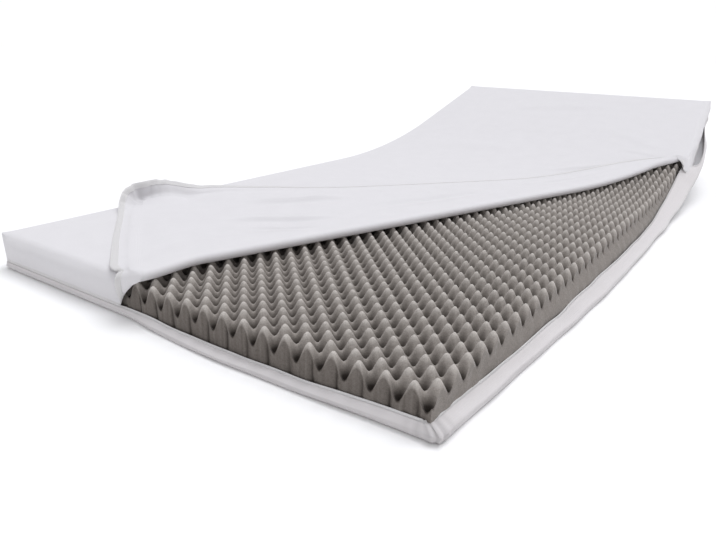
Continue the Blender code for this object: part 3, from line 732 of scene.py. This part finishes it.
def tray():
    u, v, out, distance = edge_stations(TRAY_STEP)[1:]
    rows = {name: tray_row(u, v, column) for column, name in enumerate(TRAY_COLUMNS, start=1)}
    belly_x, belly_s = pushed_out(u, v, rows["belly"])
    side_loose = ease((np.abs(belly_x - WIDTH / 2) - WIDTH / 2 - LOOSE_FROM) / SIDE_LOOSE_OVER)
    foot_loose = ease((-LOOSE_FROM - belly_s) / FOOT_LOOSE_OVER)
    loose = np.maximum(side_loose, foot_loose)
    to_corner = np.hypot(WIDTH - u, v)
    turns = 2 * pi * (distance - WIDTH) / PUCKER_PITCH
    pucker = bump(to_corner / PUCKER_REACH) * np.sin(turns + 0.6)
    belly_waver = BELLY_WAVER * loose * waves(distance, seed=11, size=0.17)
    lip_waver = LIP_WAVER * loose * waves(distance, seed=13, size=0.20)
    uneven = {
        "foot": FOOT_PUCKER * pucker,
        "belly": belly_waver + BELLY_PUCKER * pucker,
        "lip": lip_waver + LIP_PUCKER * pucker,
    }
    at, height = {}, {}
    for name, more in uneven.items():
        foot, side, closed = rows[name]
        at[name] = np.stack(pushed_out(u, v, (foot + more, side + more, closed + more)), -1)
        height[name] = tray_height(u, v, rows.get(name + "_h", (FOOT_HEIGHT,) * 3))
    rise = LIP_RISE_WAVER * loose * waves(distance, seed=12, size=0.13)
    height["lip"] = height["lip"] + rise

    def between(low, high, share, lift):
        plan = at[low] * (1 - share) + at[high] * share
        h = height[low] * (1 - share) + height[high] * share + lift
        return np.column_stack([plan, h])

    foot, lip = between("foot", "foot", 0, 0.0), between("lip", "lip", 0, 0.0)
    allowance = foot - np.column_stack([SEAM_ALLOWANCE * out, np.zeros(len(u))])
    rises = [between(*row) for row in TRAY_SECTION]
    section = soft_section(np.stack([allowance, foot, *rises, lip], 1))
    x, s, h = np.moveaxis(section, -1, 0)
    points = place(x, s, h)
    up_the_cloth = np.broadcast_to(np.linspace(0, TRAY_BORDER_FLAT[0], points.shape[1]), x.shape)
    uvs = np.stack([np.broadcast_to(distance[:, None], x.shape), up_the_cloth], -1)
    border = grid_mesh("tray_border", points, uvs)
    # painted shade on the wall and the corner's puckers, painted light on the lip
    up = np.linspace(0, 1, points.shape[1])[None, :]
    wall = (1 - ease((up - WALL_TOP) / WALL_FADES_OVER)) * loose[:, None]
    puckers = bump(to_corner / PUCKER_SHADE_REACH) * (1 + 0.5 * np.sin(turns + 2.0))
    puckers = puckers[:, None]
    shade = (1 + LIP_LIGHT * loose[:, None] - WALL_SHADE * wall) * (1 - PUCKER_SHADE * puckers)
    give_shade(border, shade)
    join_ends(border)
    finish_sheet(
        border, CLOTH, painted_light_tray_knit, "lower_border"
    )
    edge = points[:, -1]
    lean = unit(edge - points[:, -2])
    way = unit(lean + loose[:, None] * np.array([0, 0, TAPE_STANDS]))
    tape, uvs = tape_on(edge, way, inward(edge, way), distance)
    made = grid_mesh("tray_zip_tape", tape, uvs)
    join_ends(made)
    finish_sheet(made, TAPE, tape_finish, "lower_zip_tape")


tray()


# -------------------------------- top panel
# The cover's top panel, one sheet of the knit drawn over the peaks and sewn to the high
# border. Its edges turn down softly to the seam. Past the fold line it rolls over and lies
# back on itself.

# Knit tinted by its own painted light and shade
painted_light_knit = knit_material("white_knit_painted_light", KNIT_WHITE, *THREADS, shaded=True)
SLAB_THICK, HALF_TOP_CLOTH = 0.069, 0.0008
ROLL_RADIUS, FLAP_REST, FLAP_SETTLES_OVER = 0.008, 0.0036, 0.14
CLOSED_FROM, CLOSED_OVER = -0.010, 0.045
EDGE_RADIUS, EDGE_TURN = 0.014, radians(52)
DOG_EAR, DOG_EAR_REACH, DOG_EAR_UP = 0.0018, 0.016, 0.8
CREASES = (
    # x, s of one end, x, s of the other, half width, height
    (0.250, 0.300, 0.430, 0.470, 0.013, 0.0036),
    (0.330, 0.280, 0.470, 0.360, 0.010, -0.0028),
    (0.180, 0.420, 0.330, 0.640, 0.016, 0.0040),
    (0.420, 0.560, 0.560, 0.900, 0.016, -0.0026),
    (0.300, 0.700, 0.520, 1.020, 0.020, 0.0034),
    (0.520, 1.020, 0.760, 1.360, 0.013, 0.0028),
    (0.600, 0.980, 0.810, 1.370, 0.012, -0.0020),
    (0.560, 1.220, 0.800, 1.430, 0.015, 0.0026),
    (0.700, 1.500, 0.860, 1.480, 0.012, 0.0012),
    (0.640, 1.640, 0.860, 1.520, 0.018, 0.0016),
    (0.200, 1.750, 0.620, 1.880, 0.030, 0.0016),
    (0.100, 1.350, 0.450, 1.420, 0.035, 0.0014),
    (0.060, 0.120, 0.250, 0.050, 0.022, 0.0010),
)
CREASE_TAPER, CREASE_WAVER, CREASE_WAVER_TURNS = 0.35, 0.25, 5
CREASE_DIP, CREASE_DIP_OFF = 0.5, 1.9


def folded(u, v, h=SLAB_THICK - HALF_TOP_CLOTH):
    """Flat-slab (x, s, h) of the top panel's cloth, rolled over at the fold line."""
    along, across = fold_coordinates(u, v)
    r = ROLL_RADIUS
    angle = np.clip((across + r) / r, 0, pi)
    past = np.maximum(across - (pi - 1) * r, 0)
    d = np.where(across < -r, across, r * (np.sin(angle) - 1) - past)
    lift = r * (1 - np.cos(angle)) + (FLAP_REST - 2 * r) * ease(past / FLAP_SETTLES_OVER)
    x = FOLD_FOOT[0] + along * ALONG[0] + d * ACROSS[0] + bow(along) * bump(d / BOW_REACH)
    s = FOLD_FOOT[1] + along * ALONG[1] + d * ACROSS[1]
    return x, s, h + lift


def closed_share(u, v):
    """1 where the panel is closed over the foam, 0 on the roll and the flap."""
    return ease((CLOSED_FROM - fold_coordinates(u, v)[1]) / CLOSED_OVER)


def creased(x, s):
    """Height of the soft creases at these places of the slab."""
    total = 0
    for x0, s0, x1, s1, width, height in CREASES:
        length = np.hypot(x1 - x0, s1 - s0)
        way = ((x1 - x0) / length, (s1 - s0) / length)
        along = ((x - x0) * way[0] + (s - s0) * way[1]) / length
        waver = CREASE_WAVER * width * np.sin(along * CREASE_WAVER_TURNS)
        off = ((x - x0) * way[1] - (s - s0) * way[0]) + waver
        taper = ease(along / CREASE_TAPER) * ease((1 - along) / CREASE_TAPER)
        dip = CREASE_DIP * bump((off - CREASE_DIP_OFF * width) / width)
        total = total + height * taper * (bump(off / width) - dip)
    return total


SEAM_LIFTS = (
    # distance from the folded corner, how far the flap's side stands off what it lies on
    (0.000, 0.0030), (0.025, 0.0080), (0.050, 0.0105), (0.075, 0.0070), (0.097, 0.0030),
    (0.125, 0.0050), (0.155, 0.0078), (0.195, 0.0092), (0.240, 0.0080), (0.350, 0.0048),
    (0.550, 0.0020), (0.800, 0.0008), (1.200, 0.0000),
)
SEAM_LIFT_REACH = 0.045


def panel_surface(u, v):
    """Flat-slab (x, s, h) of the panel with its cut edges turned down to the border."""
    a, b = rounded(u, v)
    x, s, h = folded(a, b)
    closed = closed_share(u, v)
    turned_length = EDGE_RADIUS * EDGE_TURN
    drop = 0
    for inside, sign_x, sign_s in (
        (u, -1, 0), (WIDTH - u, 1, 0), (v, 0, -1), (LENGTH - v, 0, 1),
    ):
        left = np.maximum(turned_length - inside, 0)
        turn = left / EDGE_RADIUS
        drawn = (EDGE_RADIUS * np.sin(turn) - left) * closed
        x, s = x + sign_x * drawn, s + sign_s * drawn
        drop = np.maximum(drop, EDGE_RADIUS * (1 - np.cos(turn)))
    # a small dog-ear stands out at each corner
    to_side = np.minimum(u, WIDTH - u), np.minimum(v, LENGTH - v)
    ear = bump(np.hypot(*to_side) / DOG_EAR_REACH) * closed
    x = x + DOG_EAR * ear * np.sign(u - WIDTH / 2)
    s = s + DOG_EAR * ear * np.sign(v - LENGTH / 2)
    puffed = smooth_column(SEAM_LIFTS, v, 1)
    puffed = puffed * bump((WIDTH - u) / SEAM_LIFT_REACH) * (1 - closed)
    return x, s, h - drop * closed * (1 - DOG_EAR_UP * ear) + puffed


EDGE_ROWS = np.array([0, 0.002, 0.004, 0.006, 0.0085, 0.011])
EDGE_BAND, TOP_COLUMNS, TOP_ROWS = 0.014, 134, 236
# The columns crowd together at the roll
CROWDED_AT, CROWDED_BY, CROWDED_WIDTH, CROWD_EASE = 0.004, 0.030, 0.040, 0.05
PANEL_WAVER, FLAP_WAVER, CLOSED_CREASES = 0.0008, 0.0010, 0.7
# The roll itself and the sewn edges stay smooth
ROLL_MIDDLE, ROLL_HALF, ROLL_FADES_OVER, EDGE_FADES_OVER = 0.006, 0.012, 0.03, 0.05
FLAP_FROM, FLAP_FADES_OVER = 0.03, 0.05
# Painted light and shade: the creases' slopes painted lighter and darker, and the underside of the
# roll painted lighter
CREASE_STEP, CREASE_SLOPE_LIGHT = 0.003, 0.28
ROLL_UNDER, ROLL_UNDER_REACH, ROLL_UNDER_LIGHT = -0.001, 0.010, 0.32


def panel_places(length, count):
    """Places across the panel, close together at its edges."""
    middle = np.linspace(EDGE_BAND, length - EDGE_BAND, count)
    return np.concatenate([EDGE_ROWS, middle, length - EDGE_ROWS[::-1]])


def top_panel():
    t = panel_places(WIDTH, TOP_COLUMNS)[None, :]
    v = panel_places(LENGTH, TOP_ROWS)[:, None]
    fold_u = FOLD_FOOT[0] + v * (ALONG[0] / ALONG[1]) + CROWDED_AT
    crowd = np.minimum(
        ease((t - EDGE_BAND) / CROWD_EASE), ease((WIDTH - EDGE_BAND - t) / CROWD_EASE)
    )
    u = t - CROWDED_BY * np.tanh((t - fold_u) / CROWDED_WIDTH) * crowd
    u, v = np.broadcast_arrays(u, v)
    x, s, h = panel_surface(u, v)
    inside = np.minimum.reduce([u, v, WIDTH - u, LENGTH - v])
    across = fold_coordinates(u, v)[1]
    off_roll = ease((np.abs(across - ROLL_MIDDLE) - ROLL_HALF) / ROLL_FADES_OVER)
    free = ease(inside / EDGE_FADES_OVER) * off_roll
    h = h + PANEL_WAVER * waves(x, s, seed=31, size=0.34) * free
    on_flap = ease((across - FLAP_FROM) / FLAP_FADES_OVER) * ease(inside / FLAP_FROM)
    h = h + FLAP_WAVER * on_flap * (1 + waves(x, s, seed=32, size=0.15))
    h = h + creased(x, s) * free * np.where(across > 0, 1.0, CLOSED_CREASES)
    made = grid_mesh("cover_top_panel", place(x, s, h), np.stack([u, v], -1))
    # painted light and shade on the creases' slopes, and painted light under the roll
    step = CREASE_STEP
    slope = creased(x + step, s - step) - creased(x - step, s + step)
    slope = slope / (2.8 * step) * free
    painted_light_under_roll = bump((across - ROLL_UNDER) / ROLL_UNDER_REACH)
    give_shade(made, 1 + CREASE_SLOPE_LIGHT * slope + ROLL_UNDER_LIGHT * painted_light_under_roll)
    finish_sheet(
        made, CLOTH, painted_light_knit, "top_panel"
    )


top_panel()


# -------------------------------- upper border
# The high border, a strip of the knit sewn round the top panel, with the zip's other half
# sewn inside its edge. It hangs to the zip, turns out at both ends of the fold, and lies out
# round the flap, where it stands up as a soft box corner.

# Two of the sides that edge_stations() numbers
FOOT, RIGHT = 0, 1
BORDER_FLAT = (0.046, 5.72)
BORDER_WIDTH, BORDER_STEP, BORDER_ROWS = 0.0455, 0.006, 13
ZIP_HEIGHT, HANGS_IN = 0.0197, -0.10
ROLL = [ROLL_RADIUS * (pi * i / 6 - 1) for i in range(7)]
# Across the fold; x, s, h of the border's free edge
FOOT_TURN = (
    (-0.0600, 0.3400, 0.0000, ZIP_HEIGHT),
    (-0.0450, 0.3475, -0.0015, 0.0205),
    (-0.0250, 0.3560, -0.0050, 0.0275),
    (ROLL[0], 0.3620, -0.0095, 0.0400),
    (ROLL[1], 0.3620, -0.0120, 0.0485),
    (ROLL[2], 0.3625, -0.0130, 0.0590),
    (ROLL[3], 0.3640, -0.0130, 0.0660),
    (ROLL[4], 0.3635, -0.0105, 0.0715),
    (ROLL[5], 0.3610, -0.0070, 0.0740),
    (ROLL[6], 0.3585, -0.0025, 0.0745),
    (0.0450, 0.3400, 0.0060, 0.0728),
    (0.0800, 0.3120, 0.0270, 0.0712),
)
SIDE_TURN = (
    (-0.0600, 0.9060, 1.6670, ZIP_HEIGHT),
    (-0.0450, 0.9075, 1.6160, 0.0210),
    (-0.0350, 0.9090, 1.5810, 0.0225),
    (-0.0250, 0.9110, 1.5460, 0.0245),
    (-0.0150, 0.9135, 1.5130, 0.0268),
    (ROLL[0], 0.9150, 1.4880, 0.0295),
    (ROLL[1], 0.9150, 1.4660, 0.0345),
    (ROLL[2], 0.9120, 1.4490, 0.0415),
    (ROLL[3], 0.9065, 1.4360, 0.0500),
    (ROLL[4], 0.9010, 1.4280, 0.0590),
    (ROLL[5], 0.8990, 1.4300, 0.0690),
    (ROLL[6], 0.8930, 1.4460, 0.0770),
    (0.0300, 0.8500, 1.4400, 0.0800),
    (0.0450, 0.8000, 1.4080, 0.0775),
    (0.0800, 0.7150, 1.3120, 0.0750),
)
# Distance from the folded corner, degrees above the flap
STANDS_ON_FOOT = (
    (0.000, 76), (0.010, 64), (0.020, 46), (0.035, 25), (0.050, 11), (0.075, 1), (0.120, -3),
    (0.600, -3.2),
)
STANDS_ON_SIDE = (
    (0.000, 79), (0.015, 68), (0.030, 51), (0.045, 41), (0.060, 35), (0.090, 33), (0.105, 28),
    (0.120, 20), (0.150, 15), (0.180, 10), (0.210, 7), (0.290, 4.5), (0.380, 0), (0.480, -3),
    (1.700, -3.6),
)
HANGS_OUT = (
    # s, how far the free edge hangs out
    (1.50, 0.008), (1.60, 0.006), (1.75, 0.003), (1.86, 0.000),
)
# The cloth is pinched into small folds at the folded corner
PINCH_REACH, PINCH_DEGREES, PINCH_PITCH, PINCH_RISE = 0.045, 9, 0.021, 0.0018
SEAM_BEND, SEAM_TAKES, BEND_TAKES = 0.010, 0.0015, 1.1
INWARD_STEP, HANGING_FROM, HANGING_OVER = 0.002, -0.02, 0.04
BILLOW, RIPPLE = 0.0013, 0.0004
# Painted shade: the standing face painted darker, and the small folds on it painted darker
FACE_SHADE, FACE_FROM, FACE_OVER = 0.05, 12, 30
PINCH_SHADE, PINCH_SHADE_PITCH = 0.12, 0.017
# How far the cloth's curves reach out of their edges, in shares of the straight way
LEAST_REACH, MOST_REACH, FULLEST_REACH, HALVINGS = 0.05, 1.4, 0.75, 18


def cloth_curves(start, start_way, end, end_way, length, steps):
    """Rows of points on soft curves of this length between edges, leaving each its own way."""
    t = steps[None, :, None]
    chord = np.linalg.norm(end - start, axis=1, keepdims=True)
    low, high = chord * LEAST_REACH, chord * MOST_REACH

    def curve(reach):
        a, b = start + start_way * reach, end - end_way * reach
        rows = start[:, None] * (1 - t) ** 3 + 3 * a[:, None] * t * (1 - t) ** 2
        return rows + 3 * b[:, None] * t * t * (1 - t) + end[:, None] * t ** 3

    for _ in range(HALVINGS):
        middle = (low + high) / 2
        measured = np.linalg.norm(np.diff(curve(middle), axis=1), axis=2).sum(1)[:, None]
        short = measured < length
        low, high = np.where(short, middle, low), np.where(short, high, middle)
    return curve(np.minimum((low + high) / 2, chord * FULLEST_REACH))


def upper_border():
    sides, u, v, out, distance = edge_stations(BORDER_STEP)
    seam = np.stack(panel_surface(u, v), -1)
    inner_u, inner_v = u - INWARD_STEP * out[:, 0], v - INWARD_STEP * out[:, 1]
    seam_way = unit(seam - np.stack(panel_surface(inner_u, inner_v), -1))
    across = fold_coordinates(u, v)[1]
    # hanging to the zip
    x, s = rounded(u, v)
    away = np.where(sides == RIGHT, smooth_column(HANGS_OUT, v, 1), 0.0)
    hang = np.stack([x + out[:, 0] * away, s + out[:, 1] * away, np.full(len(u), ZIP_HEIGHT)], -1)
    hang_way = unit(np.column_stack([HANGS_IN * out, np.full(len(u), -1.0)]))
    # lying out from the flap, and standing at its corner
    from_folded_corner = np.where(sides == FOOT, WIDTH - u, v)
    degrees = np.where(
        sides == FOOT,
        smooth_column(STANDS_ON_FOOT, from_folded_corner, 1),
        smooth_column(STANDS_ON_SIDE, from_folded_corner, 1),
    )
    may_open = (sides == FOOT) | (sides == RIGHT)
    pinch = bump(from_folded_corner / PINCH_REACH) * may_open
    degrees = degrees + PINCH_DEGREES * pinch * np.sin(distance * 2 * pi / PINCH_PITCH)
    angle = np.radians(degrees)[:, None]
    flat_way = unit(seam_way * np.array([1, 1, 0]))
    stand_way = flat_way * np.cos(angle) + np.array([0, 0, 1.0]) * np.sin(angle)
    bend = SEAM_BEND * np.sin(np.abs(angle)) ** 2
    reach = BORDER_WIDTH - SEAM_TAKES - BEND_TAKES * bend
    lying = seam + flat_way * bend + stand_way * reach
    lying[:, 2] += PINCH_RISE * waves(distance, seed=24, size=0.07) * pinch
    on_flap = may_open & (across > ROLL[6])
    end = np.where(on_flap[:, None], lying, hang)
    end_way = np.where(on_flap[:, None], stand_way, hang_way)
    for side, table in ((FOOT, FOOT_TURN), (RIGHT, SIDE_TURN)):
        turning = (sides == side) & (across >= table[0][0]) & (across <= table[-1][0])
        row = np.stack([smooth_column(table, across, c) for c in (1, 2, 3)], -1)
        lying_share = ease((across - ROLL[6]) / (table[-1][0] - ROLL[6]))[:, None]
        row = row * (1 - lying_share) + lying * lying_share
        end = np.where(turning[:, None], row, end)
        straight = unit(end - seam)
        hanging_share = ease((HANGING_FROM - across) / HANGING_OVER)[:, None]
        turn_way = unit(straight * (1 - hanging_share) + hang_way * hanging_share)
        turn_way = unit(turn_way * (1 - lying_share) + stand_way * lying_share)
        end_way = np.where(turning[:, None], turn_way, end_way)
    steps = np.linspace(0, 1, BORDER_ROWS)
    rows = cloth_curves(seam, seam_way, end, end_way, BORDER_WIDTH, steps)
    # the hanging cloth billows a little between the peaks
    facing = np.concatenate([out, np.zeros((len(u), 1))], 1)[:, None]
    billow = BILLOW * waves(distance, seed=21, size=0.20)
    billow = (billow + RIPPLE * waves(distance, seed=22, size=0.035)) * closed_share(u, v)
    rows = rows + (4 * steps * (1 - steps))[None, :, None] * facing * billow[:, None, None]
    points = place(rows[..., 0], rows[..., 1], rows[..., 2])
    uvs = np.stack(np.broadcast_arrays(distance[:, None], steps * BORDER_FLAT[0]), -1)
    border = grid_mesh("cover_border", points, uvs)
    # painted shade on the standing face and in its small folds
    folds = 0.55 + 0.45 * np.sin(distance * 2 * pi / PINCH_SHADE_PITCH + 1.0)
    face = ease((degrees - FACE_FROM) / FACE_OVER) * on_flap
    shade = 1 - FACE_SHADE * face - PINCH_SHADE * (pinch * on_flap) * folds
    give_shade(border, np.repeat(shade, BORDER_ROWS))
    join_ends(border)
    finish_sheet(
        border, CLOTH, painted_light_knit, "upper_border"
    )
    edge = points[:, -1]
    way = unit(edge - points[:, -2])
    tape, uvs = tape_on(edge, way, inward(edge, way), distance, flip=-1.0)
    made = grid_mesh("cover_zip_tape", tape, uvs)
    join_ends(made)
    finish_sheet(made, TAPE, tape_finish, "upper_zip_tape")


upper_border()


# -------------------------------- floor, light, camera
# A plain white studio: pale floor, a bright band round the horizon, soft light from above
# and a broad soft lamp high behind the right side.

bpy.ops.mesh.primitive_plane_add(size=40, location=(0, 0, -0.0002))
floor = bpy.context.object
floor.name = "floor"
floor_finish = plain_material("pale_floor", (0.93, 0.93, 0.93), 0.95)[0]
floor.data.materials.append(floor_finish)

world = bpy.data.worlds.new("studio")
bpy.context.scene.world = world
world.use_nodes = True
sky_nodes, sky_links = world.node_tree.nodes, world.node_tree.links
sky_way = sky_nodes.new("ShaderNodeTexCoord")
sky_split = sky_nodes.new("ShaderNodeSeparateXYZ")
sky_links.new(sky_way.outputs["Generated"], sky_split.inputs["Vector"])
sky_ramp = sky_nodes.new("ShaderNodeValToRGB")
sky_links.new(sky_split.outputs["Z"], sky_ramp.inputs["Fac"])
sky_stops = sky_ramp.color_ramp.elements
sky_stops[0].position, sky_stops[0].color = 0.10, (1.0, 0.99, 0.99, 1)
sky_stops[1].position, sky_stops[1].color = 0.20, (0.48, 0.465, 0.47, 1)
overhead = sky_stops.new(0.9)
overhead.color = (0.82, 0.83, 0.86, 1)
background = sky_nodes["Background"]
sky_links.new(sky_ramp.outputs["Color"], background.inputs["Color"])
background.inputs["Strength"].default_value = 1.02

lamp_data = bpy.data.lights.new("broad_lamp", "SUN")
lamp_data.energy = 1.50
lamp_data.color = (0.975, 0.98, 1.0)
lamp_data.angle = radians(40)
lamp = bpy.data.objects.new("broad_lamp", lamp_data)
bpy.context.scene.collection.objects.link(lamp)
LAMP_WAY = Vector((-0.10, -0.30, -0.95))
lamp.rotation_euler = LAMP_WAY.to_track_quat("-Z", "Y").to_euler()

# The camera, fitted to the slab's corners and the rows of peaks
CAMERA_AT, LENS = (0.69542, -1.01504, 0.40633), 31.283
YAW, PITCH_DOWN, ROLL_RIGHT = -0.60444, 0.35103, 0.02529
forward = np.array([sin(YAW) * cos(PITCH_DOWN), cos(YAW) * cos(PITCH_DOWN), -sin(PITCH_DOWN)])
level = np.array([cos(YAW), -sin(YAW), 0])
upward = np.cross(level, forward)
right_way = level * cos(ROLL_RIGHT) + upward * sin(ROLL_RIGHT)
up_way = -level * sin(ROLL_RIGHT) + upward * cos(ROLL_RIGHT)
camera_data = bpy.data.cameras.new("camera")
camera_data.sensor_fit = "HORIZONTAL"
camera_data.sensor_width = 36.0
camera_data.lens = LENS
camera = bpy.data.objects.new("camera", camera_data)
bpy.context.scene.collection.objects.link(camera)
camera.matrix_world = Matrix(
    [[right_way[i], up_way[i], -forward[i], CAMERA_AT[i]] for i in range(3)] + [[0, 0, 0, 1]]
)
bpy.context.scene.camera = camera
bpy.context.scene.view_settings.view_transform = "Standard"
